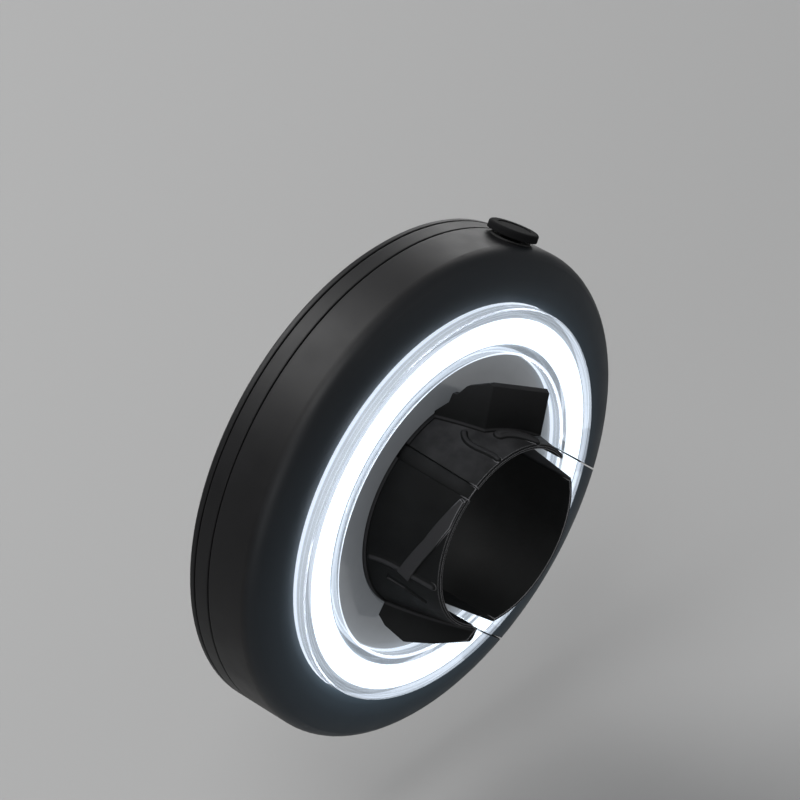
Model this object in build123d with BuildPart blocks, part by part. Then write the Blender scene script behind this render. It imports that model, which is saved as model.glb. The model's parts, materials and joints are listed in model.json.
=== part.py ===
"""Ring-shaped light that clamps round the barrel of a bicycle hub and lights the wheel from its middle.

Millimetres. The ring's axis is Y and the light side faces -Y. The origin is on the axis, halfway through
the housing. Depths are counted from the flat back towards the light side, and angles run clockwise from +Z,
as seen from the light side. Every ring is cut by two parallel faces, so that one segment, the gate, slides
out and lets the hub barrel in.
"""
import math
import os

from build123d import *

# Hub and housing
hub_radius = 16.0  # the barrel that the grip pads hold
pad_wall = 3.4  # of the grip pads, between the barrel and the ring
ring_radius = 45.0
housing_depth = 15.4  # from the flat back to the crown of the front face
rim_wall = 1.85
face_wall = 1.5
post_radius = 2.3  # round columns that take the screws
shoulder_depth = 11.8  # where the rim starts to round over to the front face
shoulder_radius = 3.0
shoulder_sweep = 60.0
face_width = 9.15  # from the rim to the lens
face_edge_depth = 14.9  # front face where it meets the lens
rear_seam = 1.45  # seam between rear cover and middle housing
front_seam = 4.5  # seam between middle housing and front shell
seam_gap = 0.2
seam_chamfer = 0.12
floor_depth = 7.4  # front side of the floor that carries the LED board
floor_wall = 1.0
inner_wall = 1.35
skirt_wall = 1.6  # of the middle housing inside the front shell
bevel_width, bevel_height = 1.8, 1.6  # inside the shoulder
cover_edge = 0.5
gasket_width, gasket_height = 0.9, 1.0
fit = 0.1  # clearance between pieces that seat in each other

# Lens and light
lens_width = 8.3
lens_top = 17.3
lens_skin = 0.8
lens_inner_wall = 1.7
lens_chamfer = 0.25
flange_depth = 11.6  # back of the lens flanges
flange_height = 0.9
flange_reach = 1.1
lens_outer_wall = 1.85
diffuser_wall = 1.0
diffuser_skin = 1.4
brim_wall = 0.9  # of the diffuser behind the lens flanges
seal_height = 0.45
annulus_depth = 15.0  # front of the smoky inner ring
annulus_wall = 1.5
annulus_edge = 0.2
bore_edge = 0.4
lip_wall = 1.15

# Grip pads
pad_back = 0.9
pad_front = 29.2
pad_front_wall = 0.7  # of the collar's thin front edge
pad_edge = 0.3
pad_step = 0.4  # how far the pad narrows where it leaves the bore
bead_depth = 7.0  # bead that locks a pad in the groove of the bore
bead_height = 0.55
bead_width = 1.6
bead_slope = 0.2
upper_pad_span = (-27.6, 57.0)
lower_pad_span = (211.0, 324.0)
joint_step, joint_gap = 0.5, 0.1  # tongue that closes the joint between the two pads
wing_thickness = 1.0
wing_root = 0.4  # where wings and folds start above the barrel, and how deep a strap reaches into a pad
strap_width, strap_height = 2.2, 0.5
groove_width, groove_depth = 1.3, 0.35
fold_radius, ridge_radius = 1.1, 0.7

# Gate
gate_angle = 135.0
gate_clearance = 1.0  # beside the barrel, when the gate is open
split_gap = 0.3
end_wall = 3.0
gate_pad_half_angle = 55.0
tongue_depth = 9.3
tongue_height = 2.4
tongue_proud = 1.3
tongue_length = 19.7  # from the rim inwards

# Electronics
board_thickness = 1.0
board_rim_gap = 0.75
led_pitch = 15.0
led_length, led_width, led_height = 3.5, 2.8, 1.4
chip_inset = 5.8  # from the rim to the row of chips
cell_length, cell_height = 24.0, 4.2
cell_room = 1.65  # between a cell and the wall round the bore
cell_corner_room = 2.5  # between a cell's corners and the rim's wall
cell_corner = 1.2
cell_angles = (259.0, 315.0)
foam_margin = 3.0

# Screws, closing magnets and contacts
screw_inset = 3.8  # from the rim to the screws' axes
screw_angles = (55.0, 95.0, 175.0, 231.0, 287.0, 343.0)
gate_screw_angles = (125.5, 144.5)
screw_radius = 1.0
screw_head_radius = 1.9
screw_length = 10.0
thread_depth = 0.2
drive_radius, drive_depth = 0.75, 0.5
magnet_radius = 2.0
magnet_thickness = 1.6
magnet_inset = 15.2  # along the split, from the rim
rail_hardware_depth = 4.0
contact_insets = (9.7, 6.2)
contact_radius = 0.7
pin_tip_radius = 0.42
contact_length = 1.8

# Button
button_angle = 30.6
button_depth = 8.9
button_radius = 4.4
button_stand = 2.1  # of the cap above the rim
button_height = 1.35
button_edge = 0.45
dish_radius, dish_depth = 2.9, 0.15
button_travel = 0.5
stem_radius = 1.8
stem_length = 3.4
catch_radius = 2.4  # disc behind the rim that keeps the cap in
catch_height = 0.7
button_seal_radius = 3.5
switch_length, switch_width, switch_height = 4.5, 3.4, 3.0
plunger_radius, plunger_height = 0.8, 0.8

# Charging socket and its rubber cover
socket_angle = 75.0
socket_inset = 11.6  # from the rim to the socket's middle
socket_length, socket_width = 9.0, 3.2
socket_wall = 0.3
socket_mouth_depth = 3.8
socket_tongue_length, socket_tongue_thickness, socket_tongue_height = 6.6, 0.7, 2.6
port_cover_inner_reach, port_cover_outer_reach = 8.4, 6.0  # from the socket's middle
port_cover_width = 7.6
port_cover_thickness = 1.0
port_cover_gap = 0.2
port_nib_height = 1.2
thumb_notch_length = 1.6

# Places worked out from the sizes above
back_y = housing_depth / 2
reach = ring_radius + 20.0
bore_radius = hub_radius + pad_wall
lens_outer_radius = ring_radius - face_width
lens_inner_radius = lens_outer_radius - lens_width
gate_half_width = hub_radius + gate_clearance
split_end = math.sqrt(ring_radius**2 - gate_half_width**2)  # where the split meets the rim
cover_front = rear_seam - seam_gap / 2
chassis_back = rear_seam + seam_gap / 2
chassis_front = front_seam - seam_gap / 2
shell_back = front_seam + seam_gap / 2
shell_bore = ring_radius - rim_wall
chassis_bore = bore_radius + annulus_wall + fit
chassis_chamber = chassis_bore + inner_wall
chassis_wall_bore = shell_bore - fit - skirt_wall
well_radius = lens_outer_radius + fit
well_top = flange_depth + flange_height + seal_height
lip_radius = lens_outer_radius + flange_reach + fit
shelf_depth = flange_depth - fit
face_floor = face_edge_depth - face_wall
diffuser_inner_radius = lens_inner_radius + lens_inner_wall + fit
diffuser_outer_radius = lens_outer_radius - lens_outer_wall - fit
led_circle = (diffuser_inner_radius + diffuser_outer_radius) / 2
screw_circle = ring_radius - screw_inset
chip_circle = ring_radius - chip_inset
groove_radius = bore_radius + bead_height + fit
collar_radius = bore_radius - fit / 2 - pad_step
pad_front_radius = hub_radius + pad_front_wall
tongue_inner_end = split_end - tongue_length
magnet_distance = split_end - magnet_inset
contact_distances = [split_end - inset for inset in contact_insets]
board_back = floor_depth + fit / 2
board_front = board_back + board_thickness
board_inner_radius = chassis_chamber + 0.3
board_outer_radius = shell_bore - board_rim_gap
gasket_radius = ring_radius - (rim_wall + gasket_width) / 2
screw_core = screw_radius - thread_depth
button_top = ring_radius + button_stand
button_base = button_top - button_height
stem_end = button_base - stem_length
switch_outer_end = stem_end - button_travel - fit - plunger_height
switch_inner_end = switch_outer_end - switch_width
cell_back = cover_front + fit
cell_inner_distance = chassis_chamber + cell_room
cell_outer_distance = math.sqrt((chassis_wall_bore - cell_corner_room)**2 - (cell_length / 2)**2)
cell_width = cell_outer_distance - cell_inner_distance
cell_middle = cell_inner_distance + cell_width / 2
socket_circle = ring_radius - socket_inset
port_cover_inner_end = socket_circle - port_cover_inner_reach
port_cover_outer_end = socket_circle + port_cover_outer_reach
hinge_distance = port_cover_inner_end + port_cover_thickness / 2


def at(depth):
    """Y of a depth counted from the flat back."""
    return back_y - depth


def direction(angle):
    """Unit vector away from the ring's axis."""
    a = math.radians(angle)
    return Vector(math.sin(a), 0, math.cos(a))


def radial_plane(angle):
    """Sketch plane through the ring's axis: x is the distance from the axis and y is the ring's Y."""
    out = direction(angle)
    return Plane(origin=(0, 0, 0), x_dir=out, z_dir=(-out.Z, 0, out.X))


def rim_plane(angle, radius):
    """Sketch plane square to a radius: x runs round the ring with the angle and y is the ring's Y."""
    out = direction(angle)
    return Plane(origin=out * radius, x_dir=(out.Z, 0, -out.X), z_dir=out)


def depth_plane(depth):
    """Sketch plane square to the axis, seen from the light side: x is +X and y is +Z."""
    return Plane(origin=(0, at(depth), 0), x_dir=(1, 0, 0), z_dir=(0, -1, 0))


def spot(angle, radius):
    """Place on a depth plane, turned so that its y points away from the axis."""
    out = direction(angle)
    return Location((out.X * radius, out.Z * radius, 0), (0, 0, -angle))


gate_way = direction(gate_angle)
gate_plane = Plane(origin=(0, 0, 0), x_dir=gate_way, z_dir=(0, -1, 0))


def section(*points):
    """Closed section with straight sides through points of radius and depth."""
    with BuildSketch(Plane.XY, mode=Mode.PRIVATE) as sketch:
        with BuildLine():
            Polyline(*[(radius, at(depth)) for radius, depth in points], close=True)
        make_face()
    return sketch.sketch


def band(inner, outer, back, front):
    """Rectangular section of a ring."""
    return section((inner, back), (outer, back), (outer, front), (inner, front))


def spin(profile, mode=Mode.ADD):
    revolve(profile, axis=Axis.Y, mode=mode)


def passage(half_width):
    """The gate's way out of the ring, from the axis outwards, as a block."""
    with BuildPart(mode=Mode.PRIVATE) as block:
        with BuildSketch(gate_plane):
            with Locations((reach / 2, 0)):
                Rectangle(reach, 2 * half_width)
        extrude(amount=reach, both=True)
    return block.part


def trim(side, inset=0.0):
    """Keeps the lamp's or the gate's share of a ring, set back from the split by the inset."""
    if side == "gate":
        add(passage(gate_half_width - split_gap / 2 - inset), mode=Mode.INTERSECT)
    else:
        add(passage(gate_half_width + split_gap / 2 + inset), mode=Mode.SUBTRACT)


def node_name(side, name):
    return f"gate_{name}" if side == "gate" else name


def screw_spots(side):
    angles = gate_screw_angles if side == "gate" else screw_angles
    return [spot(angle, screw_circle) for angle in angles]


def posts(side, radius, back, front):
    """Round columns on the screws' axes."""
    with BuildPart(mode=Mode.PRIVATE) as columns:
        with BuildSketch(depth_plane(back)):
            with Locations(*screw_spots(side)):
                Circle(radius)
        extrude(amount=front - back)
    return columns.part


def chamber(profile, side):
    """Space inside a shell, which leaves the end walls at the split and the screw posts standing."""
    with BuildPart(mode=Mode.PRIVATE) as space:
        spin(profile)
        trim(side, end_wall)
        add(posts(side, post_radius, -1, housing_depth + 1), mode=Mode.SUBTRACT)
    return space.part


def split_plane(side, hand):
    """Plane on one split face: x along the gate's way, y along Y, normal pointing away from the gate."""
    offset = gate_half_width + (-split_gap / 2 if side == "gate" else split_gap / 2)
    across = gate_plane.y_dir * hand
    return Plane(origin=across * offset, x_dir=gate_way * hand, z_dir=across)


def rail(side, hand, grow):
    """Tongue on the gate's split face, or the slightly larger groove in the lamp's."""
    plane = split_plane(side, hand)
    inner_end = tongue_inner_end - grow
    with BuildPart(mode=Mode.PRIVATE) as bar:
        with BuildSketch(plane):
            with Locations((hand * (inner_end + reach) / 2, at(tongue_depth))):
                Rectangle(reach - inner_end, tongue_height + 2 * grow)
        extrude(amount=tongue_proud - (0 if side == "gate" else split_gap - fit))
        spin(band(0, ring_radius if side == "gate" else reach, -1, housing_depth), Mode.INTERSECT)
    return bar.part


def split_discs(side, hands, distances, radius, length, inward=True, start=0.0):
    """Discs on split faces, such as magnets or their pockets. Inward is into the piece that has them."""
    carrier = -1 if side == "gate" else 1
    with BuildPart(mode=Mode.PRIVATE) as discs:
        for hand in hands:
            plane = split_plane(side, hand)
            toward = carrier if inward else -carrier
            with BuildSketch(plane.offset(start * toward)):
                with Locations(*[(hand * distance, at(rail_hardware_depth)) for distance in distances]):
                    Circle(radius)
            extrude(amount=length * toward)
    return discs.part


def front_shell(side):
    """Rim, rounded shoulder, crowned front face and the lip round the lens, with the upper end walls."""

    def bend(turn):
        out = ring_radius - shoulder_radius + shoulder_radius * math.cos(math.radians(turn))
        return (out, at(shoulder_depth + shoulder_radius * math.sin(math.radians(turn))))

    crown_radius = (bend(shoulder_sweep)[0] + well_radius) / 2
    with BuildPart() as shell:
        with BuildSketch(Plane.XY):
            with BuildLine():
                side_line = Line(
                    (ring_radius, at(shell_back + seam_chamfer)),
                    (ring_radius, at(shoulder_depth)),
                )
                shoulder = ThreePointArc(side_line @ 1, bend(shoulder_sweep / 2), bend(shoulder_sweep))
                crown_end = (well_radius, at(face_edge_depth))
                crown = ThreePointArc(shoulder @ 1, (crown_radius, at(housing_depth)), crown_end)
                Polyline(
                    crown @ 1,
                    (well_radius, at(well_top)),
                    (lip_radius, at(well_top)),
                    (lip_radius, at(shelf_depth)),
                    (chassis_bore, at(shelf_depth)),
                    (chassis_bore, at(board_back)),
                    (shell_bore, at(board_back)),
                    (shell_bore, at(shell_back)),
                    (ring_radius - seam_chamfer, at(shell_back)),
                    side_line @ 0,
                )
            make_face()
        revolve(axis=Axis.Y)
        trim(side)
        add(
            chamber(
                section(
                    (chassis_bore - 1, floor_depth - 1),
                    (shell_bore, floor_depth - 1),
                    (shell_bore, face_floor - bevel_height),
                    (shell_bore - bevel_width, face_floor),
                    (lip_radius + lip_wall, face_floor),
                    (lip_radius + lip_wall, shelf_depth),
                    (chassis_bore - 1, shelf_depth),
                ),
                side,
            ),
            mode=Mode.SUBTRACT,
        )
        add(posts(side, screw_core + fit / 2, floor_depth - 1, screw_length + 1), mode=Mode.SUBTRACT)
        for hand in (1, -1):
            if side == "gate":
                add(rail(side, hand, 0))
            else:
                add(rail(side, hand, fit), mode=Mode.SUBTRACT)
        if side == "lamp":
            with BuildSketch(rim_plane(button_angle, ring_radius + 1)):
                with Locations((0, at(button_depth))):
                    Circle(stem_radius + 2 * fit)
            extrude(amount=-rim_wall - 3, mode=Mode.SUBTRACT)
            with BuildSketch(rim_plane(button_angle, ring_radius + 1)):
                with Locations((0, at(button_depth))):
                    Circle(button_seal_radius + fit)
            extrude(amount=-1 - rim_wall / 2, mode=Mode.SUBTRACT)
    return shell


def middle_housing(side):
    """Band between the two seams, with the floor under the LED board and the lower end walls."""
    with BuildPart() as chassis:
        spin(
            section(
                (ring_radius - seam_chamfer, chassis_back),
                (ring_radius, chassis_back + seam_chamfer),
                (ring_radius, chassis_front - seam_chamfer),
                (ring_radius - seam_chamfer, chassis_front),
                (shell_bore - fit, chassis_front),
                (shell_bore - fit, floor_depth),
                (chassis_bore, floor_depth),
                (chassis_bore, chassis_back),
            )
        )
        trim(side)
        hollow = band(chassis_chamber, chassis_wall_bore, -1, floor_depth - floor_wall)
        add(chamber(hollow, side), mode=Mode.SUBTRACT)
        groove_floor = chassis_back + gasket_height - fit
        spin(band(gasket_radius, gasket_radius + gasket_width, -1, groove_floor), Mode.SUBTRACT)
        add(posts(side, screw_radius + fit, -1, floor_depth + 1), mode=Mode.SUBTRACT)
        magnet_pockets = split_discs(
            side, (1, -1), (magnet_distance,), magnet_radius + fit / 2, magnet_thickness
        )
        contact_holes = split_discs(side, (1,), contact_distances, contact_radius + fit / 2, contact_length)
        add(magnet_pockets, mode=Mode.SUBTRACT)
        add(contact_holes, mode=Mode.SUBTRACT)
        if side == "lamp":
            with BuildSketch(rim_plane(button_angle, ring_radius)):
                with Locations((0, at(button_depth))):
                    Circle(catch_radius + 3 * fit)
            extrude(amount=chassis_wall_bore - ring_radius - fit, mode=Mode.SUBTRACT)
    return chassis


def rear_cover(side):
    """Flat back plate, with countersunk screw holes and, in the lamp, the charging port's recess."""
    with BuildPart() as cover:
        spin(
            section(
                (bore_radius + cover_edge / 2, 0),
                (ring_radius - cover_edge, 0),
                (ring_radius, cover_edge),
                (ring_radius, cover_front - seam_chamfer),
                (ring_radius - seam_chamfer, cover_front),
                (bore_radius, cover_front),
                (bore_radius, cover_edge / 2),
            )
        )
        trim(side)
        add(posts(side, screw_radius + fit, -1, cover_front + 1), mode=Mode.SUBTRACT)
        for screw in screw_spots(side):
            with Locations(depth_plane(0).location * screw):
                with Locations((0, 0, (screw_head_radius - screw_radius) / 2)):
                    Cone(
                        screw_head_radius + fit, screw_radius + fit, screw_head_radius - screw_radius,
                        mode=Mode.SUBTRACT,
                    )
        if side == "lamp":
            length = port_cover_outer_end - port_cover_inner_end + 2 * port_cover_gap
            middle = (port_cover_outer_end + port_cover_inner_end) / 2
            with BuildSketch(depth_plane(-1)):
                with Locations(spot(socket_angle, middle)):
                    Rectangle(port_cover_width + 2 * port_cover_gap, length)
                with Locations(spot(socket_angle, port_cover_outer_end + thumb_notch_length / 2)):
                    Rectangle(port_cover_width / 2, thumb_notch_length)
            extrude(amount=1 + port_cover_thickness + fit / 2, mode=Mode.SUBTRACT)
            with BuildSketch(depth_plane(0)):
                with Locations(spot(socket_angle, socket_circle)):
                    SlotOverall(socket_length + 4 * fit, socket_width + 4 * fit, rotation=90)
            extrude(amount=rear_seam, mode=Mode.SUBTRACT)
    return cover


def lens(side):
    """Clear ring that stands proud of the front face, with flanges that hold it from behind."""
    inner_flange = lens_inner_radius - flange_reach
    outer_flange = lens_outer_radius + flange_reach
    flange_top = flange_depth + flange_height
    with BuildPart() as ring:
        spin(
            section(
                (inner_flange, flange_depth),
                (outer_flange, flange_depth),
                (outer_flange, flange_top),
                (lens_outer_radius, flange_top),
                (lens_outer_radius, lens_top - lens_chamfer),
                (lens_outer_radius - lens_chamfer, lens_top),
                (lens_inner_radius + lens_chamfer, lens_top),
                (lens_inner_radius, lens_top - lens_chamfer),
                (lens_inner_radius, flange_top),
                (inner_flange, flange_top),
            )
        )
        spin(
            band(
                lens_inner_radius + lens_inner_wall,
                lens_outer_radius - lens_outer_wall,
                flange_depth - 1,
                lens_top - lens_skin,
            ),
            Mode.SUBTRACT,
        )
        trim(side)
    return ring


def diffuser(side):
    """White ring inside the lens that spreads the LEDs' light, with a brim behind the lens flanges."""
    inner, outer = diffuser_inner_radius, diffuser_outer_radius
    channel_inner, channel_outer = inner + diffuser_wall, outer - diffuser_wall
    front = lens_top - lens_skin - fit
    with BuildPart() as ring:
        spin(
            section(
                (inner, shelf_depth),
                (channel_inner, shelf_depth),
                (channel_inner, front - diffuser_skin),
                (channel_outer, front - diffuser_skin),
                (channel_outer, shelf_depth),
                (outer, shelf_depth),
                (outer, front),
                (inner, front),
            )
        )
        trim(side)
        add(diffuser_brim(side, lens_inner_radius - flange_reach, channel_inner))
        add(diffuser_brim(side, channel_outer, lens_outer_radius + flange_reach))
    return ring


def diffuser_brim(side, inner, outer):
    """One edge of the diffuser's brim, which ends at the front shell's end walls."""
    with BuildPart(mode=Mode.PRIVATE) as brim:
        spin(band(inner, outer, shelf_depth - brim_wall, shelf_depth))
        trim(side, end_wall + 2 * fit)
    return brim.part


def inner_ring(side):
    """Smoky ring between lens and bore: its front is the annulus and its tube lines the bore."""
    edge = lens_inner_radius - fit
    tube = bore_radius + annulus_wall
    flange_bore = lens_inner_radius - flange_reach - fit
    with BuildPart() as ring:
        spin(
            section(
                (bore_radius, cover_front + fit),
                (tube, cover_front + fit),
                (tube, annulus_depth - annulus_wall),
                (flange_bore - lip_wall, annulus_depth - annulus_wall),
                (flange_bore - lip_wall, shelf_depth + fit),
                (flange_bore, shelf_depth + fit),
                (flange_bore, well_top),
                (edge, well_top),
                (edge, annulus_depth - annulus_edge),
                (edge - annulus_edge, annulus_depth),
                (bore_radius + bore_edge, annulus_depth),
                (bore_radius, annulus_depth - bore_edge),
            )
        )
        groove_half = bead_width / 2 + fit
        spin(
            band(bore_radius - 1, groove_radius, bead_depth - groove_half, bead_depth + groove_half),
            Mode.SUBTRACT,
        )
        trim(side)
    return ring


def lens_seals(side):
    """Two soft rings between the lens flanges and the pieces in front of them."""
    low, high = flange_depth + flange_height + fit / 4, well_top - fit / 4
    with BuildPart() as rings:
        spin(band(well_radius + fit, lip_radius - 2 * fit, low, high))
        spin(band(lens_inner_radius - flange_reach + fit, lens_inner_radius - 2 * fit, low, high))
        trim(side)
    return rings


def gasket(side):
    """Soft ring in the seam behind the middle housing."""
    with BuildPart() as ring:
        spin(
            band(
                gasket_radius + fit / 2,
                gasket_radius + gasket_width - fit / 2,
                cover_front + fit / 4,
                chassis_back + gasket_height - 1.5 * fit,
            )
        )
        trim(side)
    return ring


def led_board(side):
    """Ring-shaped circuit board on the floor, notched round the screw posts and the push switch."""
    with BuildPart() as board:
        spin(band(board_inner_radius, board_outer_radius, board_back, board_front))
        trim(side, end_wall + 2 * fit)
        add(posts(side, post_radius + 2 * fit, 0, housing_depth), mode=Mode.SUBTRACT)
        if side == "lamp":
            with BuildSketch(depth_plane(0)):
                with Locations(spot(button_angle, (switch_inner_end - 2 * fit + reach) / 2)):
                    Rectangle(switch_length + 4 * fit, reach - switch_inner_end + 2 * fit)
            extrude(amount=housing_depth, mode=Mode.SUBTRACT)
    return board


def leds(side):
    """Row of light-emitting packages on the light's middle circle."""
    limit = gate_half_width + (-1 if side == "gate" else 1) * (end_wall + led_length / 2 + fit)
    count = int(360 / led_pitch)
    places = []
    for index in range(count):
        turn = index * led_pitch
        across = led_circle * abs(math.sin(math.radians(turn)))
        ahead = math.cos(math.radians(turn)) > 0
        inside_gate = ahead and across < limit
        outside_gate = not ahead or across > limit
        if inside_gate if side == "gate" else outside_gate:
            places.append(spot(gate_angle + turn, led_circle))
    with BuildPart() as packages:
        with BuildSketch(depth_plane(board_front)):
            with Locations(*places):
                Rectangle(led_length, led_width)
        extrude(amount=led_height)
    return packages


def screws(side):
    """Countersunk screws that hold rear cover, middle housing and front shell together."""
    head = screw_head_radius - screw_core
    with BuildPart() as group:
        for screw in screw_spots(side):
            with Locations(depth_plane(0).location * screw):
                with Locations((0, 0, head / 2)):
                    Cone(screw_head_radius, screw_core, head)
                with Locations((0, 0, (screw_length + head) / 2)):
                    Cylinder(screw_core, screw_length - head)
                with Locations((0, 0, drive_depth / 2)):
                    Cylinder(drive_radius, drive_depth, mode=Mode.SUBTRACT)
    return group


def magnets(side):
    """Disc magnets on both split faces, which hold the gate shut."""
    with BuildPart() as discs:
        thickness = magnet_thickness - 2 * fit
        add(split_discs(side, (1, -1), (magnet_distance,), magnet_radius, thickness, start=fit))
    return discs


def contacts(side):
    """Contacts that pass the current to the gate: sprung pins in the lamp, flat pads in the gate."""
    with BuildPart() as pins:
        add(split_discs(side, (1,), contact_distances, contact_radius, contact_length - fit))
        if side == "lamp":
            reach_over = split_gap - fit / 2
            add(split_discs(side, (1,), contact_distances, pin_tip_radius, reach_over, inward=False))
    return pins


def pad_profile():
    """Section of a grip pad: a liner in the bore that narrows to a collar along the barrel."""
    seat = bore_radius - fit / 2
    bead = bead_width / 2
    return section(
        (hub_radius, pad_back),
        (seat, pad_back),
        (seat, bead_depth - bead),
        (seat + bead_height, bead_depth - bead + bead_slope),
        (seat + bead_height, bead_depth + bead - bead_slope),
        (seat, bead_depth + bead),
        (seat, annulus_depth + pad_edge),
        (collar_radius, annulus_depth + pad_edge),
        (pad_front_radius, pad_front - pad_edge),
        (pad_front_radius - pad_edge, pad_front),
        (hub_radius, pad_front),
    )


def joint_profile():
    """Section of the lower pad's tongue, a step below the pads' surfaces."""
    return section(
        (hub_radius, pad_back),
        (collar_radius - joint_step, pad_back),
        (collar_radius - joint_step, annulus_depth + pad_edge),
        (pad_front_radius - joint_step, pad_front - pad_edge),
        (hub_radius, pad_front - pad_edge),
    )


def pad_sweep(profile, span):
    """Share of a ring over a span of angles."""
    with BuildPart(mode=Mode.PRIVATE) as saddle:
        start = profile.rotate(Axis.Y, span[0] - 90)
        revolve(start, axis=Axis.Y, revolution_arc=span[1] - span[0])
    return saddle.part


def collar_point(angle, depth, sink):
    """Place below the surface of a pad's collar."""
    slope = (pad_front_radius - collar_radius) / (pad_front - annulus_depth - 2 * pad_edge)
    radius = collar_radius + slope * (depth - annulus_depth - pad_edge) - sink
    return direction(angle) * radius + Vector(0, at(depth), 0)


def fold(places, radius, sink):
    """Rounded fold of a pad: a bar with round ends, partly sunk, through places of angle and depth."""
    with BuildPart(mode=Mode.PRIVATE) as bar:
        with BuildLine() as path:
            Spline(*[collar_point(angle, depth, sink) for angle, depth in places])
        with BuildSketch(Plane(origin=path.line @ 0, z_dir=path.line % 0)):
            Circle(radius)
        sweep()
        with Locations(path.line @ 0, path.line @ 1):
            Sphere(radius)
        Cylinder(hub_radius + wing_root, 4 * pad_front, rotation=(90, 0, 0), mode=Mode.SUBTRACT)
    return bar.part


def collar_layer(low, high):
    """Layer of a pad's collar between two heights over its surface."""
    start = annulus_depth + 2 * pad_edge
    end = pad_front - pad_edge
    with BuildPart(mode=Mode.PRIVATE) as sleeve:
        spin(
            section(
                (collar_radius + low, start),
                (collar_radius + high, start),
                (pad_front_radius + high, end),
                (max(pad_front_radius + low, hub_radius + pad_edge), end),
            )
        )
    return sleeve.part


def strip(points, width):
    """Closed outline of a bent strip round a line of points."""
    sides = []
    for index, (x, y) in enumerate(points):
        before = points[max(index - 1, 0)]
        after = points[min(index + 1, len(points) - 1)]
        along = math.hypot(after[0] - before[0], after[1] - before[1])
        normal = ((before[1] - after[1]) / along, (after[0] - before[0]) / along)
        sides.append((x + normal[0] * width / 2, y + normal[1] * width / 2))
        sides.insert(0, (x - normal[0] * width / 2, y - normal[1] * width / 2))
    return sides


def strip_block(angle, plan, width):
    """Bent strip pushed outwards from the barrel, from its line of side offsets and depths."""
    with BuildPart(mode=Mode.PRIVATE) as block:
        with BuildSketch(rim_plane(angle, hub_radius / 2)):
            with BuildLine():
                Polyline(*[(across, at(depth)) for across, depth in strip(plan, width)], close=True)
            make_face()
        extrude(amount=reach)
    return block.part


def wing(angle, plan, outline):
    """Bent plate that stands on a pad, from its line and its outline of heights and depths."""
    heights = [(hub_radius + height, at(depth)) for height, depth in outline]
    with BuildPart(mode=Mode.PRIVATE) as plate:
        add(strip_block(angle, plan, wing_thickness))
        with BuildSketch(radial_plane(angle)):
            with BuildLine():
                Polyline(*heights, close=True)
            make_face()
        extrude(amount=reach, both=True, mode=Mode.INTERSECT)
    return plate.part


def pad_strip(angle, plan, width, low, high):
    """Share of a bent strip that lies in a layer of the collar, for a strap or for a groove."""
    with BuildPart(mode=Mode.PRIVATE) as bar:
        add(strip_block(angle, plan, width))
        add(collar_layer(low, high), mode=Mode.INTERSECT)
    return bar.part


def export(node, builder):
    builder.part.label = node
    export_step(builder.part, f"parts/{node}.step")


os.makedirs("parts", exist_ok=True)

# Rings, which the lamp and the gate share
ring_pieces = {
    "front_shell": front_shell,
    "middle_housing": middle_housing,
    "rear_cover": rear_cover,
    "lens": lens,
    "diffuser": diffuser,
    "inner_ring": inner_ring,
    "lens_seals": lens_seals,
    "gasket": gasket,
    "led_board": led_board,
    "leds": leds,
    "screws": screws,
    "magnets": magnets,
    "contacts": contacts,
}
for ring_side in ("lamp", "gate"):
    for piece_name, make_piece in ring_pieces.items():
        export(node_name(ring_side, piece_name), make_piece(ring_side))

# Grip pads: rubber liners of the bore that reach along the barrel, with wings, folds and creases.
# Lines are side offsets from an angle and depths, and outlines are heights above the barrel and depths.
wing_foot = annulus_depth + fit
upper_wing_angle, upper_wing_line = 14.0, [(-7.2, 14.0), (-2.9, 22.5), (6.5, 26.9)]
upper_wing_outline = [
    (wing_root, wing_foot), (3.0, wing_foot), (5.2, 16.9), (6.9, 17.2), (6.9, 17.9), (8.8, 19.1),
    (10.2, 22.2), (9.3, 24.6), (8.0, 28.0), (wing_root, 28.0),
]
upper_fold_places = [(9.0, 24.6), (17.5, 25.6), (23.5, 27.0), (27.0, 28.0)]
upper_ridge_places = [(-4.4, 20.6), (-8.0, 22.3), (-6.6, 26.1), (-6.2, 28.3)]
lower_wing_angle, lower_wing_line = 218.0, [(3.7, 13.8), (0.4, 20.3), (-4.0, 29.0)]
lower_wing_outline = [
    (wing_root, wing_foot), (5.4, wing_foot), (6.6, 16.6), (7.7, 20.1), (6.0, 23.8), (3.0, 28.6),
    (wing_root, pad_front),
]
lower_strap_angle, lower_strap_line = 292.0, [(-7.8, 22.5), (0.0, 26.4), (8.2, 29.2)]
lower_ridge_places = [(270.3, 16.0), (270.8, 19.5), (268.6, 24.0), (266.4, 27.6)]
lower_groove_angle, lower_groove_line = 256.0, [(1.6, 19.0), (0.4, 22.3), (-1.8, 26.0)]

with BuildPart() as grip_pad_upper:
    add(pad_sweep(pad_profile(), upper_pad_span))
    add(wing(upper_wing_angle, upper_wing_line, upper_wing_outline))
    add(fold(upper_fold_places, fold_radius, fold_radius / 3))
    add(fold(upper_ridge_places, ridge_radius, ridge_radius / 2))

with BuildPart() as grip_pad_lower:
    add(pad_sweep(pad_profile(), lower_pad_span))
    add(pad_sweep(joint_profile(), (lower_pad_span[1] - 1, upper_pad_span[0] + 360 - joint_gap)))
    lower_groove = pad_strip(lower_groove_angle, lower_groove_line, groove_width, -groove_depth, 1)
    add(lower_groove, mode=Mode.SUBTRACT)
    add(wing(lower_wing_angle, lower_wing_line, lower_wing_outline))
    add(pad_strip(lower_strap_angle, lower_strap_line, strap_width, -wing_root, strap_height))
    add(fold(lower_ridge_places, fold_radius, fold_radius * 2 / 3))

with BuildPart() as gate_grip_pad:
    add(pad_sweep(pad_profile(), (gate_angle - gate_pad_half_angle, gate_angle + gate_pad_half_angle)))

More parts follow.
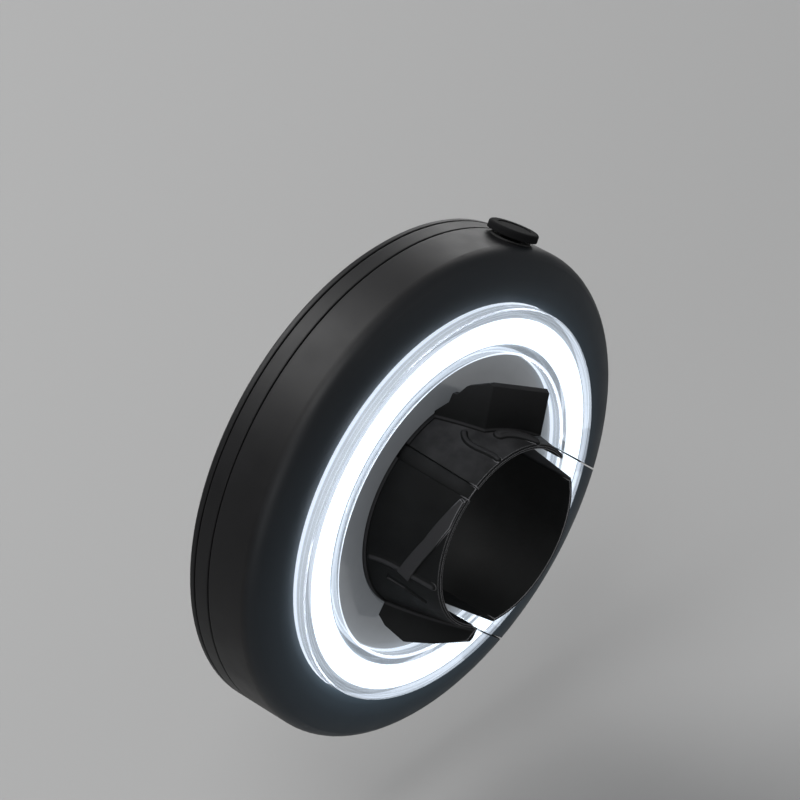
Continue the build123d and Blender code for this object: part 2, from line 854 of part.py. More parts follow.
# Push button: cap with its stem and catch, the seal round the stem and the switch behind it
with BuildPart() as button_cap:
    with BuildSketch(rim_plane(button_angle, button_base)):
        with Locations((0, at(button_depth))):
            Circle(button_radius)
    extrude(amount=button_height)
    fillet(button_cap.edges().group_by(Axis((0, 0, 0), direction(button_angle)))[-1], button_edge)
    with BuildSketch(rim_plane(button_angle, button_top)):
        with Locations((0, at(button_depth))):
            Circle(dish_radius)
    extrude(amount=-dish_depth, mode=Mode.SUBTRACT)
    with BuildSketch(rim_plane(button_angle, button_base)):
        with Locations((0, at(button_depth))):
            Circle(stem_radius)
    extrude(amount=-stem_length)
    with BuildSketch(rim_plane(button_angle, shell_bore - fit)):
        with Locations((0, at(button_depth))):
            Circle(catch_radius)
    extrude(amount=-catch_height)

with BuildPart() as button_seal:
    with BuildSketch(rim_plane(button_angle, ring_radius - rim_wall / 2 + fit / 2)):
        with Locations((0, at(button_depth))):
            Circle(button_seal_radius)
            Circle(stem_radius + fit / 2, mode=Mode.SUBTRACT)
    extrude(amount=rim_wall / 2 + fit)

with BuildPart() as push_switch:
    with BuildSketch(rim_plane(button_angle, switch_outer_end)):
        with Locations((0, at(board_back + switch_height / 2))):
            Rectangle(switch_length, switch_height)
    extrude(amount=-switch_width)
    with BuildSketch(rim_plane(button_angle, switch_outer_end)):
        with Locations((0, at(button_depth))):
            Circle(plunger_radius)
    extrude(amount=plunger_height)

# Control chips and motion sensor on the LED board
chip_sizes = {  # length, width and height, by angle
    12.0: (4.0, 4.0, 0.9),
    2.5: (3.0, 3.0, 1.5),
    352.5: (2.9, 1.6, 1.1),
    325.0: (5.0, 4.4, 1.2),
    316.5: (1.6, 3.2, 1.6),
}
sensor_angle, sensor_radius, sensor_height = 300.0, 1.7, 3.0
with BuildPart() as control_chips:
    for chip_angle, (chip_length, chip_width, chip_height) in chip_sizes.items():
        with BuildSketch(depth_plane(board_front)):
            with Locations(spot(chip_angle, chip_circle)):
                Rectangle(chip_length, chip_width)
        extrude(amount=chip_height)

with BuildPart() as motion_sensor:
    with BuildSketch(depth_plane(board_front)):
        with Locations(spot(sensor_angle, chip_circle)):
            Circle(sensor_radius)
    extrude(amount=sensor_height)

# Battery cells on the rear cover, with foam pads that hold them against the floor
for cell_name, cell_angle in zip(("battery_lower", "battery_upper"), cell_angles):
    with BuildPart() as cell:
        with BuildSketch(depth_plane(cell_back)):
            with Locations(spot(cell_angle, cell_middle)):
                Rectangle(cell_length, cell_width)
        extrude(amount=cell_height)
        fillet(cell.edges().filter_by(Axis.Y), cell_corner)
    export(cell_name, cell)

with BuildPart() as battery_foam:
    with BuildSketch(depth_plane(cell_back + cell_height + fit / 4)):
        with Locations(*[spot(angle, cell_middle) for angle in cell_angles]):
            Rectangle(cell_length - 2 * foam_margin, cell_width - 2 * foam_margin)
    extrude(amount=floor_depth - floor_wall - cell_back - cell_height - fit / 2)

# Charging socket, open to the back, and its hinged rubber cover
with BuildPart() as charging_socket:
    with BuildSketch(depth_plane(chassis_back)):
        with Locations(spot(socket_angle, socket_circle)):
            SlotOverall(socket_length, socket_width, rotation=90)
    extrude(amount=floor_depth - floor_wall - chassis_back - fit / 2)
    with BuildSketch(depth_plane(chassis_back)):
        with Locations(spot(socket_angle, socket_circle)):
            SlotOverall(socket_length - 2 * socket_wall, socket_width - 2 * socket_wall, rotation=90)
    extrude(amount=socket_mouth_depth, mode=Mode.SUBTRACT)
    with BuildSketch(depth_plane(chassis_back + socket_mouth_depth)):
        with Locations(spot(socket_angle, socket_circle)):
            Rectangle(socket_tongue_thickness, socket_tongue_length)
    extrude(amount=-socket_tongue_height)

with BuildPart() as port_cover:
    with BuildSketch(radial_plane(socket_angle)):
        with BuildLine():
            hinge_end = ThreePointArc(
                (hinge_distance, at(0)),
                (port_cover_inner_end, at(port_cover_thickness / 2)),
                (hinge_distance, at(port_cover_thickness)),
            )
            Polyline(
                hinge_end @ 1,
                (port_cover_outer_end, at(port_cover_thickness)),
                (port_cover_outer_end, at(0)),
                hinge_end @ 0,
            )
        make_face()
    extrude(amount=port_cover_width / 2, both=True)
    with BuildSketch(depth_plane(port_cover_thickness)):
        with Locations(spot(socket_angle, socket_circle)):
            SlotOverall(
                socket_length - 2 * socket_wall - 4 * fit,
                socket_width - 2 * socket_wall - 4 * fit,
                rotation=90,
            )
    extrude(amount=port_nib_height)

for piece_name, piece in {
    "grip_pad_upper": grip_pad_upper,
    "grip_pad_lower": grip_pad_lower,
    "gate_grip_pad": gate_grip_pad,
    "button_cap": button_cap,
    "button_seal": button_seal,
    "push_switch": push_switch,
    "control_chips": control_chips,
    "motion_sensor": motion_sensor,
    "battery_foam": battery_foam,
    "charging_socket": charging_socket,
    "port_cover": port_cover,
}.items():
    export(piece_name, piece)
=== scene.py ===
"""Looks of the wheel hub light: its finishes, the lit ring, a pale studio and the photograph's camera.

Metres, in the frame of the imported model: the ring's axis is Y, the light side faces -Y and +Z is up.
A row of stops is a curve: each stop is a share from 0 to 1, and the level there.
"""
import json

import bpy
from mathutils import Matrix, Vector


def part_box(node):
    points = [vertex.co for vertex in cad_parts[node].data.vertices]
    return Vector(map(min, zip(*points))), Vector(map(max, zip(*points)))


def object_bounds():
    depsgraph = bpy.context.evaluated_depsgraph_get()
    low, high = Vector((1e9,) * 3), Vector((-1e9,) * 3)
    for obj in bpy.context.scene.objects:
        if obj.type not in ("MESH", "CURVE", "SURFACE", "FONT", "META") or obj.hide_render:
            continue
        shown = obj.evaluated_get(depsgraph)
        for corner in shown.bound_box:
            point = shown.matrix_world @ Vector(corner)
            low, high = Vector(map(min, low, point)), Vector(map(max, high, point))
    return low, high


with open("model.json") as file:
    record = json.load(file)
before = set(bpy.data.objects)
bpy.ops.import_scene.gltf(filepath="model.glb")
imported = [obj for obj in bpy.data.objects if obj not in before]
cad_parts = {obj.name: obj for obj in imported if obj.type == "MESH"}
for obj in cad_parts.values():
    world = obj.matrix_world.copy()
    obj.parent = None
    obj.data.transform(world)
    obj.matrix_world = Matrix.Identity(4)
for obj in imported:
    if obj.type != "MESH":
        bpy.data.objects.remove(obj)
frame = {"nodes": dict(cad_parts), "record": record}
cad_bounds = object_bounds()
diffuser_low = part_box("diffuser")[0]

# Camera, as fitted to the ring's circles in the photograph
CAMERA_PLACE = (-0.35374, -0.32275, 0.37004)
CAMERA_RIGHT = (0.6768, -0.7361, 0.0)
CAMERA_UP = (0.4365, 0.4014, 0.8052)
CAMERA_LENS, SENSOR_WIDTH = 162.05, 36.0  # mm
CAMERA_NEAR = 0.01

# Studio
FLOOR_SHADE = 0.36
FLOOR_ROUGHNESS = 0.8
FLOOR_SPECULAR = 0.2
FLOOR_DROP = 0.026  # room under the ring, into which the gate slides out
FLOOR_HALF = 6.0  # half the floor's side
LIT_FLOOR, PLAIN_FLOOR = 0.38, 0.62  # from the origin: end of the lit floor, start of the backdrop
BACKDROP = (0.33, 0.33, 0.335)
WORLD_LIGHT = (0.08, 0.082, 0.085)
LAMPS = (  # name, place, side of the square, watts
    ("key_light", (-0.42, -0.1, 0.82), 0.45, 4.0),
    ("left_light", (-0.85, -0.45, 0.25), 0.45, 1.9),
    ("back_light", (-0.15, 0.65, 0.75), 0.6, 8.5),
    ("side_light", (0.85, 0.55, 0.22), 0.6, 3.2),
    ("fill_light", (0.4, -0.8, 0.35), 0.7, 0.7),
)

# All finishes
PATTERN_LOW, PATTERN_HIGH = 0.3, 0.7  # what most of a noise pattern lies between
BLOTCHES = 160.0  # per metre
GRAIN_DETAIL = 2.0
COAT_ROUGHNESS = 0.08
EDGE_RADIUS = 0.0003
EDGE_SAMPLES = 6

# Light in the ring
BAND_COLOR = (0.86, 0.94, 1.0)
BAND_STRENGTH = 1.7
SIDE_SHARE = 0.15  # of the light that leaves the diffuser behind its front face
GLOW_DEPTH = 0.0003  # how far the strong light reaches behind the diffuser's front face
LED_COLOR = (0.9, 0.95, 1.0)
LED_STRENGTH = 4.0
MILKY_DARK, MILKY_LIGHT = (0.86, 0.9, 0.94), (0.94, 0.97, 1.0)
MILKY_CLOUDS = 220.0  # per metre
MILKY_ROUGHNESS = 0.45

# Clear lens: its clearness and light change in rings across it, and its light up its walls too
LENS_INNER, LENS_OUTER = 0.02755, 0.03585  # radii of its walls
LENS_FOOT_Y, LENS_TOP_Y = -0.0072, -0.0096  # where it leaves the housing, and its front face
LENS_TRANSMISSION = 0.92
LENS_IOR = 1.49
LENS_GRAIN = 900.0  # per metre
LENS_ROUGHNESS = (0.03, 0.06)
LENS_TINT = (0.92, 0.96, 1.0)
LENS_SHADOW_TINT = (0.94, 0.95, 0.97)
LENS_COLOR = (0.8, 0.88, 1.0)
LENS_GLOW = 0.8
LENS_FACE_STOPS = (
    (0.0, 0.9), (0.05, 0.9), (0.06, 0.02), (0.1, 0.06), (0.12, 0.02), (0.2, 0.05), (0.78, 0.1), (0.83, 0.14),
    (0.85, 0.04), (0.875, 0.16), (0.9, 0.05), (0.93, 0.2), (0.945, 0.06), (0.97, 0.08), (1.0, 0.1),
)
LENS_CLEAR_STOPS = (
    (0.0, 0.9), (0.06, 0.9), (0.07, 0.55), (0.17, 0.6), (0.2, 0.95), (0.8, 0.95), (0.82, 0.7), (0.86, 0.6),
    (0.88, 0.8), (0.9, 0.58), (0.94, 0.72), (0.96, 0.6), (1.0, 0.62),
)
LENS_WALL_SHARE = ((0.0, 1.0), (0.004, 1.0), (0.006, 0.0), (0.994, 0.0), (0.996, 1.0), (1.0, 1.0))
LENS_WALL_STOPS = ((0.0, 0.7), (0.22, 0.7), (0.32, 0.1), (0.48, 0.1), (0.54, 0.36), (0.6, 0.08), (1.0, 0.06))

# Light of the lens that falls on the housing round it, by distance from the lens
LIT_PIECES = ("front_shell", "gate_front_shell")
SPILL_COLOR = (0.5, 0.76, 1.0)
SPILL_GLOW = 0.06
SPILL_REACH = 0.009
SPILL_STOPS = ((0.0, 1.0), (0.08, 0.62), (0.2, 0.36), (0.45, 0.2), (1.0, 0.07))
SPILL_LOW, SPILL_HIGH = 2.1, 0.8  # share of it at the foot and at the top of the lens
TURNED_AWAY, TURNED_FRONT = -0.1, -0.5  # Y of the normals at which this light starts and is full

# Light of the lens that falls on the smoky ring inside it, from the bore out to the lens
BORE_RADIUS = 0.0194
ANNULUS_COLOR = (0.84, 0.92, 1.0)
ANNULUS_GLOW = 0.2
ANNULUS_STOPS = ((0.0, 0.36), (0.5, 0.5), (0.8, 0.72), (1.0, 1.0))
ANNULUS_LOW, ANNULUS_HIGH = 1.5, 0.6  # share of it at the foot and at the top of the lens

# Rubber of the grip pads
COLLAR_BACK_Y, COLLAR_FRONT_Y = -0.0076, -0.0212  # where the collar's taper starts and ends
COLLAR_BACK, COLLAR_FRONT = 0.01895, 0.0167  # its radii there
BLUE_SHARE = 1.05  # of a cool grey's blue, against its red and green
DUST_SHADE = 0.06
DUST_PATCHES, DUST_DETAIL = 260.0, 4.0  # patches per metre, and their detail
DUST_SHARE = (0.3, 0.8)  # of the dust's shade, in thin and in thick patches
DUST_LOW, DUST_HIGH = 0.0162, 0.0166  # radii at which dust starts and is full, clear of the barrel's side
DUST_STEEP, DUST_LEVEL = 0.8, 0.97  # Z of the normals at which dust starts and is full
# Painted highlight: a paler shade on the strap and on other raised ridges of its height, where light would
# catch them
STRAP_HIGHLIGHT_SHADE = 0.032
STRAP_REACH = 0.001  # height above the collar that the strap's stops cover
STRAP_HIGHLIGHT_STOPS = ((0.0, 0.0), (0.25, 0.0), (0.35, 1.0), (0.6, 1.0), (0.8, 0.0), (1.0, 0.0))
# Painted highlight: a pale line along the sharp edges at the pads' front
EDGE_HIGHLIGHT_SHADE = 0.3
EDGE_HIGHLIGHT_START, EDGE_HIGHLIGHT_FULL = 0.0014, 0.0004  # behind the taper's front end
FLAT_COSINE, SHARP_COSINE = 0.99, 0.86  # of true and rounded normals, on flat surfaces and sharp edges
# Painted light: the lens's light on the pads' wings, painted as a paler shade
PAINTED_WING_LIGHT = 0.022
WING_START, WING_FULL = 0.0198, 0.028  # radii at which this shade starts and is full, past the tips
WING_LOW, WING_HIGH = 0.2, 1.0  # share of it at the foot and at the top of the lens


def new_material(name):
    """Material with an empty Principled shader, and its nodes and links."""
    made = bpy.data.materials.new(name)
    made.use_nodes = True
    nodes = made.node_tree.nodes
    return made, nodes, made.node_tree.links, nodes["Principled BSDF"]


def coordinate(nodes, links, axis, kind="Object"):
    """One axis of the piece's own coordinates, or of its surface's normal."""
    place = nodes.new("ShaderNodeTexCoord")
    split = nodes.new("ShaderNodeSeparateXYZ")
    links.new(place.outputs[kind], split.inputs["Vector"])
    return split.outputs[axis]


def vector_length(nodes, links, vector):
    """Length of a vector."""
    length = nodes.new("ShaderNodeVectorMath")
    length.operation = "LENGTH"
    links.new(vector, length.inputs[0])
    return length.outputs["Value"]


def from_axis(nodes, links):
    """Distance from the ring's axis, over the piece's own coordinates."""
    place = nodes.new("ShaderNodeTexCoord")
    flat = nodes.new("ShaderNodeVectorMath")
    flat.operation = "MULTIPLY"
    flat.inputs[1].default_value = (1, 0, 1)
    links.new(place.outputs["Object"], flat.inputs[0])
    return vector_length(nodes, links, flat.outputs["Vector"])


def noise(nodes, links, scale, detail=3.0):
    """Noise over the piece's own coordinates, in features per metre."""
    place = nodes.new("ShaderNodeTexCoord")
    pattern = nodes.new("ShaderNodeTexNoise")
    pattern.inputs["Scale"].default_value = scale
    pattern.inputs["Detail"].default_value = detail
    links.new(place.outputs["Object"], pattern.inputs["Vector"])
    return pattern.outputs["Fac"]


def mapped(nodes, links, source, low, high, first=0.0, last=1.0):
    """Value that runs from first to last, as its source runs from low to high."""
    remap = nodes.new("ShaderNodeMapRange")
    remap.inputs["From Min"].default_value = low
    remap.inputs["From Max"].default_value = high
    remap.inputs["To Min"].default_value = first
    remap.inputs["To Max"].default_value = last
    links.new(source, remap.inputs["Value"])
    return remap.outputs["Result"]


def spread(nodes, links, pattern, first=0.0, last=1.0):
    """Maps a noise pattern onto a range of values."""
    return mapped(nodes, links, pattern, PATTERN_LOW, PATTERN_HIGH, first, last)


def combined(nodes, links, operation, *sources):
    """Several values, taken together one after the other by a math operation."""
    result = sources[0]
    for source in sources[1:]:
        step = nodes.new("ShaderNodeMath")
        step.operation = operation
        links.new(result, step.inputs[0])
        links.new(source, step.inputs[1])
        result = step.outputs["Value"]
    return result


def by_height(nodes, links, low, high):
    """Value that runs from one level at the foot of the lens to another at its top."""
    return mapped(nodes, links, coordinate(nodes, links, "Z"), -LENS_OUTER, LENS_OUTER, low, high)


def facing_front(nodes, links):
    """1 on surfaces that face the light side, 0 on the rim and on the faces of the split."""
    return mapped(nodes, links, coordinate(nodes, links, "Y", "Normal"), TURNED_AWAY, TURNED_FRONT)


def ray_is(nodes, links, *kinds):
    """1 for rays of the named kinds, 0 for all others."""
    path = nodes.new("ShaderNodeLightPath")
    return combined(nodes, links, "MAXIMUM", *[path.outputs[f"Is {kind} Ray"] for kind in kinds])


def shows_backdrop(nodes, links):
    """1 for the rays that show the backdrop itself, in a mirror or through glass too, and 0 for its light."""
    return ray_is(nodes, links, "Camera", "Glossy", "Transmission")


def mixed(nodes, links, share, first, last):
    """Colour that runs from first to last by a share. Each is a plain colour or a socket."""
    mix = nodes.new("ShaderNodeMix")
    mix.data_type = "RGBA"
    links.new(share, mix.inputs["Factor"])
    for side, color in (("A", first), ("B", last)):
        if isinstance(color, tuple):
            mix.inputs[side].default_value = (*color, 1)
        else:
            links.new(color, mix.inputs[side])
    return mix.outputs["Result"]


def ramp(nodes, links, share, stops, color=(1, 1, 1)):
    """One colour, scaled by a curve of stops over a share."""
    curve = nodes.new("ShaderNodeValToRGB")
    elements = curve.color_ramp.elements
    for place, _ in stops[1:-1]:
        elements.new(place)
    for element, (_, level) in zip(elements, stops):
        element.color = (*[level * part for part in color], 1)
    links.new(share, curve.inputs["Fac"])
    return curve.outputs["Color"]


def scaled(nodes, links, color, scale):
    """Colour times a value."""
    scaling = nodes.new("ShaderNodeVectorMath")
    scaling.operation = "SCALE"
    links.new(color, scaling.inputs[0])
    links.new(scale, scaling.inputs["Scale"])
    return scaling.outputs["Vector"]


def emit(made, color, strength):
    """Lets a surface give off light of the colour in a socket."""
    shader = made.node_tree.nodes["Principled BSDF"]
    made.node_tree.links.new(color, shader.inputs["Emission Color"])
    shader.inputs["Emission Strength"].default_value = strength


def soft_edges(nodes):
    """Normal that rounds sharp edges over."""
    bevel = nodes.new("ShaderNodeBevel")
    bevel.samples = EDGE_SAMPLES
    bevel.inputs["Radius"].default_value = EDGE_RADIUS
    return bevel.outputs["Normal"]


def bump(nodes, links, source, height, normal=None):
    """Bump of a real height, in metres."""
    relief = nodes.new("ShaderNodeBump")
    relief.inputs["Distance"].default_value = height
    links.new(source, relief.inputs["Height"])
    if normal is not None:
        links.new(normal, relief.inputs["Normal"])
    return relief.outputs["Normal"]


def finish(
    name, dark, light, rough, grain_scale, grain_height, specular=0.5, coat=0.0, metallic=0.0, rounded=False
):
    """Plastic, rubber or metal: blotchy colour and gloss, a fine grain and, if rounded, softened edges."""
    made, nodes, links, shader = new_material(name)
    blotches = noise(nodes, links, BLOTCHES)
    grain = noise(nodes, links, grain_scale, GRAIN_DETAIL)
    links.new(mixed(nodes, links, spread(nodes, links, blotches), dark, light), shader.inputs["Base Color"])
    links.new(spread(nodes, links, blotches, *rough), shader.inputs["Roughness"])
    normal = soft_edges(nodes) if rounded else None
    links.new(bump(nodes, links, grain, grain_height, normal), shader.inputs["Normal"])
    shader.inputs["Specular IOR Level"].default_value = specular
    shader.inputs["Coat Weight"].default_value = coat
    shader.inputs["Coat Roughness"].default_value = COAT_ROUGHNESS
    shader.inputs["Metallic"].default_value = metallic
    return made


def lens_glow(nodes, links, across):
    """Colour of the lens's light, in rings across its front face and in steps up its walls."""
    up_the_wall = mapped(nodes, links, coordinate(nodes, links, "Y"), LENS_FOOT_Y, LENS_TOP_Y)
    on_wall = ramp(nodes, links, across, LENS_WALL_SHARE)
    face = ramp(nodes, links, across, LENS_FACE_STOPS, LENS_COLOR)
    wall = ramp(nodes, links, up_the_wall, LENS_WALL_STOPS, LENS_COLOR)
    return mixed(nodes, links, on_wall, face, wall)


def clear_lens():
    """Clear lens, which lets the ring's light through to its surroundings and glows at its edges."""
    made, nodes, links, shader = new_material("clear_lens")
    shader.inputs["Transmission Weight"].default_value = LENS_TRANSMISSION
    shader.inputs["IOR"].default_value = LENS_IOR
    grain = noise(nodes, links, LENS_GRAIN, GRAIN_DETAIL)
    links.new(spread(nodes, links, grain, *LENS_ROUGHNESS), shader.inputs["Roughness"])
    across = mapped(nodes, links, from_axis(nodes, links), LENS_INNER, LENS_OUTER)
    links.new(ramp(nodes, links, across, LENS_CLEAR_STOPS, LENS_TINT), shader.inputs["Base Color"])
    emit(made, lens_glow(nodes, links, across), LENS_GLOW)
    see_through = nodes.new("ShaderNodeBsdfTransparent")
    see_through.inputs["Color"].default_value = (*LENS_SHADOW_TINT, 1)
    pick = nodes.new("ShaderNodeMixShader")
    links.new(ray_is(nodes, links, "Shadow", "Diffuse"), pick.inputs[0])
    links.new(shader.outputs["BSDF"], pick.inputs[1])
    links.new(see_through.outputs["BSDF"], pick.inputs[2])
    links.new(pick.outputs[0], nodes["Material Output"].inputs["Surface"])
    return made


def milky_plastic(name):
    """Milky white plastic, without its light."""
    made, nodes, links, shader = new_material(name)
    clouds = spread(nodes, links, noise(nodes, links, MILKY_CLOUDS))
    links.new(mixed(nodes, links, clouds, MILKY_DARK, MILKY_LIGHT), shader.inputs["Base Color"])
    shader.inputs["Roughness"].default_value = MILKY_ROUGHNESS
    return made


def lit_led():
    """LED package that shines all over."""
    made = milky_plastic("lit_led")
    shader = made.node_tree.nodes["Principled BSDF"]
    shader.inputs["Emission Color"].default_value = (*LED_COLOR, 1)
    shader.inputs["Emission Strength"].default_value = LED_STRENGTH
    return made


def lit_diffuser():
    """Milky plastic that glows strongly at its front face and faintly behind it."""
    made = milky_plastic("lit_diffuser")
    nodes, links = made.node_tree.nodes, made.node_tree.links
    front_y = diffuser_low.y
    share = mapped(nodes, links, coordinate(nodes, links, "Y"), front_y + GLOW_DEPTH, front_y)
    emit(made, ramp(nodes, links, share, ((0.0, SIDE_SHARE), (1.0, 1.0)), BAND_COLOR), BAND_STRENGTH)
    return made


def housing(name):
    """Matte black of the housing."""
    return finish(
        name, (0.0045, 0.0045, 0.005), (0.006, 0.006, 0.0066), (0.44, 0.52), 5200.0, 0.00001,
        specular=0.22, rounded=True,
    )


def fallen_light(nodes, links, share, stops, color, low, high):
    """Light of the lens on a surface beside it, by a curve over the way there and by height."""
    light = ramp(nodes, links, share, stops, color)
    height = by_height(nodes, links, low, high)
    reached = combined(nodes, links, "MULTIPLY", height, facing_front(nodes, links))
    return scaled(nodes, links, light, reached)


def lit_housing():
    """Matte black on which the light of the lens falls."""
    made = housing("lit_black_housing")
    nodes, links = made.node_tree.nodes, made.node_tree.links
    share = mapped(nodes, links, from_axis(nodes, links), LENS_OUTER, LENS_OUTER + SPILL_REACH)
    light = fallen_light(nodes, links, share, SPILL_STOPS, SPILL_COLOR, SPILL_LOW, SPILL_HIGH)
    emit(made, light, SPILL_GLOW)
    return made


def lit_annulus():
    """Glossy smoky plastic on which the light of the lens falls."""
    made = finish(
        "smoky_inner_ring", (0.1, 0.102, 0.107), (0.12, 0.122, 0.127), (0.1, 0.16), 2500.0, 0.000003,
        specular=0.9, coat=0.6,
    )
    nodes, links = made.node_tree.nodes, made.node_tree.links
    share = mapped(nodes, links, from_axis(nodes, links), BORE_RADIUS, LENS_INNER)
    light = fallen_light(nodes, links, share, ANNULUS_STOPS, ANNULUS_COLOR, ANNULUS_LOW, ANNULUS_HIGH)
    emit(made, light, ANNULUS_GLOW)
    return made


def on_sharp_edges(nodes, links):
    """0 on flat surfaces, 1 on sharp edges."""
    surface = nodes.new("ShaderNodeNewGeometry")
    cosine = nodes.new("ShaderNodeVectorMath")
    cosine.operation = "DOT_PRODUCT"
    links.new(soft_edges(nodes), cosine.inputs[0])
    links.new(surface.outputs["Normal"], cosine.inputs[1])
    return mapped(nodes, links, cosine.outputs["Value"], FLAT_COSINE, SHARP_COSINE)


def dust(nodes, links):
    """Share of the dust, in patches on the level outside of the pads."""
    level = mapped(nodes, links, coordinate(nodes, links, "Z", "Normal"), DUST_STEEP, DUST_LEVEL)
    outside = mapped(nodes, links, from_axis(nodes, links), DUST_LOW, DUST_HIGH)
    patches = spread(nodes, links, noise(nodes, links, DUST_PATCHES, DUST_DETAIL), *DUST_SHARE)
    return combined(nodes, links, "MULTIPLY", level, outside, patches)


def raised_highlight(nodes, links):
    """Share of the painted highlight on the strap, which stands a little above the pads' tapered collar, and
    on other raised features of its height.
    """
    back_to_front = coordinate(nodes, links, "Y")
    collar = mapped(nodes, links, back_to_front, COLLAR_FRONT_Y, COLLAR_BACK_Y, COLLAR_FRONT, COLLAR_BACK)
    height = combined(nodes, links, "SUBTRACT", from_axis(nodes, links), collar)
    return ramp(nodes, links, mapped(nodes, links, height, 0.0, STRAP_REACH), STRAP_HIGHLIGHT_STOPS)


def front_edge_highlight(nodes, links):
    """Share of the painted highlight, a pale line on the sharp edges at the pads' front."""
    start, full = COLLAR_FRONT_Y + EDGE_HIGHLIGHT_START, COLLAR_FRONT_Y + EDGE_HIGHLIGHT_FULL
    front = mapped(nodes, links, coordinate(nodes, links, "Y"), start, full)
    return combined(nodes, links, "MULTIPLY", front, on_sharp_edges(nodes, links))


def painted_wing_light(nodes, links):
    """Share of the painted light of the lens on the pads' wings, stronger further from the axis and higher
    up.
    """
    wing = mapped(nodes, links, from_axis(nodes, links), WING_START, WING_FULL)
    return combined(nodes, links, "MULTIPLY", wing, by_height(nodes, links, WING_LOW, WING_HIGH))


def grip_rubber():
    """Soft black rubber with dust on its upper side, painted highlights on the raised strap and the front
    edges, and painted lens light on the wings.
    """
    made = finish(
        "grip_rubber", (0.006, 0.0063, 0.0064), (0.009, 0.0096, 0.0098), (0.52, 0.64), 2600.0, 0.00002,
        specular=0.06, rounded=True,
    )
    nodes, links = made.node_tree.nodes, made.node_tree.links
    base = nodes["Principled BSDF"].inputs["Base Color"]
    color = base.links[0].from_socket
    # Dust, then the painted highlights and the painted light, each laid over the rubber's colour
    layers = (
        (DUST_SHADE, dust(nodes, links)),
        (STRAP_HIGHLIGHT_SHADE, raised_highlight(nodes, links)),
        (EDGE_HIGHLIGHT_SHADE, front_edge_highlight(nodes, links)),
        (PAINTED_WING_LIGHT, painted_wing_light(nodes, links)),
    )
    for shade, share in layers:
        color = mixed(nodes, links, share, color, (shade, shade, shade * BLUE_SHARE))
    links.new(color, base)
    return made


FINISHES = {
    "housing": housing("matte_black_housing"),
    "clear_lens": clear_lens(),
    "diffuser": lit_diffuser(),
    "inner_ring": lit_annulus(),
    "seal": finish("soft_seal", (0.008, 0.008, 0.008), (0.012, 0.012, 0.012), (0.6, 0.7), 3000.0, 0.00002),
    "circuit_board": finish(
        "circuit_board", (0.01, 0.07, 0.03), (0.015, 0.1, 0.045), (0.3, 0.4), 1500.0, 0.00001
    ),
    "led": lit_led(),
    "screw_steel": finish(
        "screw_steel", (0.42, 0.42, 0.43), (0.56, 0.56, 0.57), (0.22, 0.34), 3000.0, 0.000004, metallic=1.0
    ),
    "magnet": finish(
        "magnet_nickel", (0.6, 0.6, 0.62), (0.7, 0.7, 0.72), (0.12, 0.2), 2500.0, 0.000003, metallic=1.0
    ),
    "contact": finish(
        "gold_contact", (0.75, 0.55, 0.24), (0.86, 0.66, 0.32), (0.18, 0.26), 2500.0, 0.000003, metallic=1.0
    ),
    "grip_rubber": grip_rubber(),
    "button_rubber": finish(
        "button_rubber", (0.004, 0.004, 0.0044), (0.006, 0.006, 0.0066), (0.75, 0.85), 4200.0, 0.00001,
        specular=0.08, rounded=True,
    ),
    "chip": finish("moulded_chip", (0.02, 0.02, 0.02), (0.03, 0.03, 0.03), (0.4, 0.5), 4000.0, 0.00001),
    "battery": finish(
        "battery_foil", (0.5, 0.52, 0.54), (0.6, 0.62, 0.64), (0.3, 0.4), 700.0, 0.00003, metallic=0.9
    ),
    "foam": finish("foam", (0.08, 0.08, 0.085), (0.12, 0.12, 0.125), (0.85, 0.95), 1800.0, 0.00008),
}
lit_housing_finish = lit_housing()

slot_of = {row["node"]: row["material_slot"] for row in frame["record"]["subparts"]}
for name, node in frame["nodes"].items():
    node.data.materials.clear()
    node.data.materials.append(lit_housing_finish if name in LIT_PIECES else FINISHES[slot_of[name]])


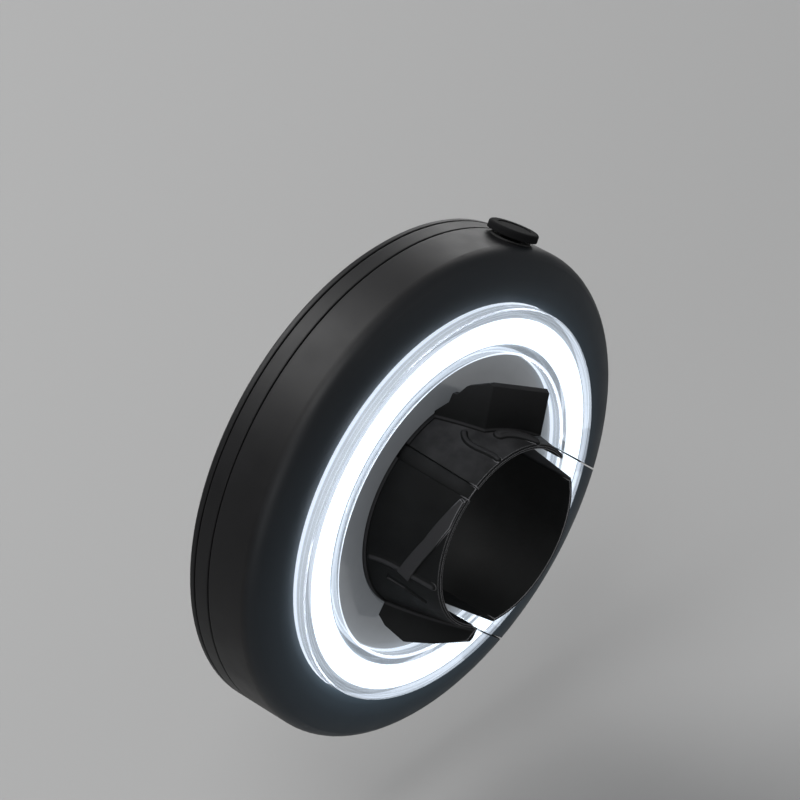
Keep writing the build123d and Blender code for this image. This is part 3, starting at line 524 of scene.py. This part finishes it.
def floor_finish():
    """Matte floor, which gives way to the plain backdrop further out."""
    made, nodes, links, shader = new_material("pale_floor")
    place = nodes.new("ShaderNodeTexCoord")
    distance = vector_length(nodes, links, place.outputs["Object"])
    far = mapped(nodes, links, distance, LIT_FLOOR, PLAIN_FLOOR)
    black = (0.0, 0.0, 0.0)
    links.new(mixed(nodes, links, far, (FLOOR_SHADE,) * 3, black), shader.inputs["Base Color"])
    links.new(mixed(nodes, links, far, black, BACKDROP), shader.inputs["Emission Color"])
    links.new(shows_backdrop(nodes, links), shader.inputs["Emission Strength"])
    shader.inputs["Roughness"].default_value = FLOOR_ROUGHNESS
    shader.inputs["Specular IOR Level"].default_value = FLOOR_SPECULAR
    return made


def floor():
    """Flat square under the object."""
    height = cad_bounds[0].z - FLOOR_DROP
    corners = [(x * FLOOR_HALF, y * FLOOR_HALF, height) for x, y in ((-1, -1), (1, -1), (1, 1), (-1, 1))]
    mesh = bpy.data.meshes.new("floor")
    mesh.from_pydata(corners, [], [(0, 1, 2, 3)])
    mesh.materials.append(floor_finish())
    made = bpy.data.objects.new("floor", mesh)
    bpy.context.scene.collection.objects.link(made)


def softbox(name, place, size, power):
    """Square area lamp that points at the middle of the ring."""
    lamp = bpy.data.lights.new(name, "AREA")
    lamp.shape = "SQUARE"
    lamp.size = size
    lamp.energy = power
    made = bpy.data.objects.new(name, lamp)
    bpy.context.scene.collection.objects.link(made)
    made.location = place
    made.rotation_euler = (-Vector(place)).to_track_quat("-Z", "Y").to_euler()


def studio_world():
    """Dim light from all sides, and the plain backdrop where the world itself is seen."""
    world = bpy.data.worlds.new("studio")
    bpy.context.scene.world = world
    world.use_nodes = True
    nodes, links = world.node_tree.nodes, world.node_tree.links
    background = nodes["Background"]
    light = mixed(nodes, links, shows_backdrop(nodes, links), WORLD_LIGHT, BACKDROP)
    links.new(light, background.inputs["Color"])
    background.inputs["Strength"].default_value = 1.0


def photograph_camera():
    """Camera at the photograph's place and angle."""
    camera = bpy.data.cameras.new("camera")
    camera.lens = CAMERA_LENS
    camera.sensor_width = SENSOR_WIDTH
    camera.clip_start = CAMERA_NEAR
    made = bpy.data.objects.new("camera", camera)
    bpy.context.scene.collection.objects.link(made)
    right = Vector(CAMERA_RIGHT).normalized()
    up = Vector(CAMERA_UP).normalized()
    turn = Matrix((right, up, right.cross(up))).transposed()
    made.matrix_world = Matrix.Translation(CAMERA_PLACE) @ turn.to_4x4()
    bpy.context.scene.camera = made


floor()
for lamp_row in LAMPS:
    softbox(*lamp_row)
studio_world()
photograph_camera()
bpy.context.scene.view_settings.view_transform = "Standard"
